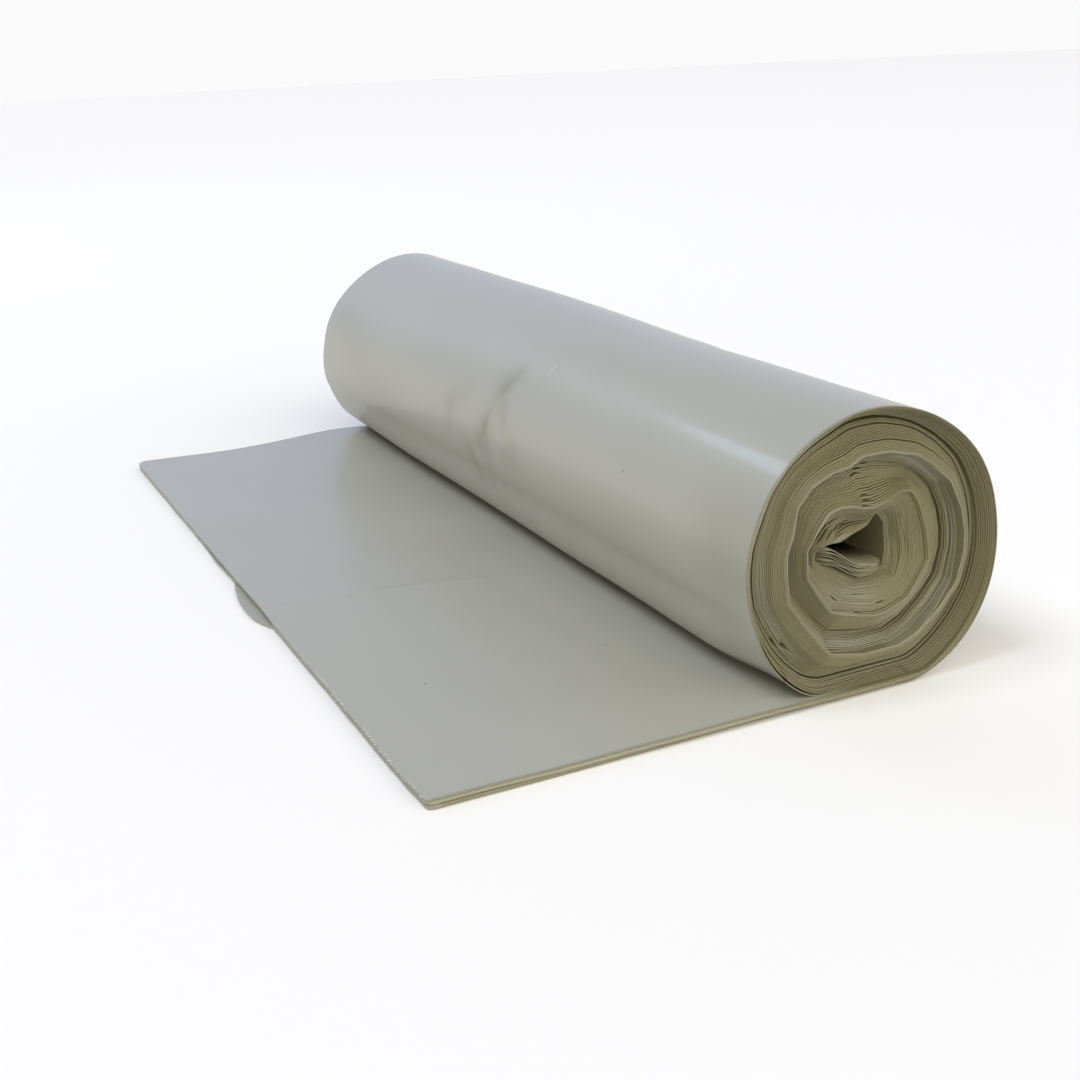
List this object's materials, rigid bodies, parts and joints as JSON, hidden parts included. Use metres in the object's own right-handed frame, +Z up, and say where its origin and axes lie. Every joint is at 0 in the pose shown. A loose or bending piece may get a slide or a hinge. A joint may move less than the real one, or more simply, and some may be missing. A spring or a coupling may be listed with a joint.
{
  "type": "bin bag roll",
  "caption": "Coreless roll of folded bin bags lying on its side, its turns crushed in the middle and terraced at the ends, with the loose end drawn out flat.",
  "frame": {"origin": "on the underside, below the roll's axis, halfway along the roll", "axes": "+Y along the roll's axis, away from the end that the picture shows; -X towards the cut edge of the loose end; +Z up"},
  "size_m": [0.1622, 0.3374, 0.0736],
  "materials": {
    "film": "warm grey-white polythene film with a soft sheen, olive where its plies shade each other"
  },
  "bodies": {
    "root": {"bag_roll": "film"}
  },
  "joints": []
}
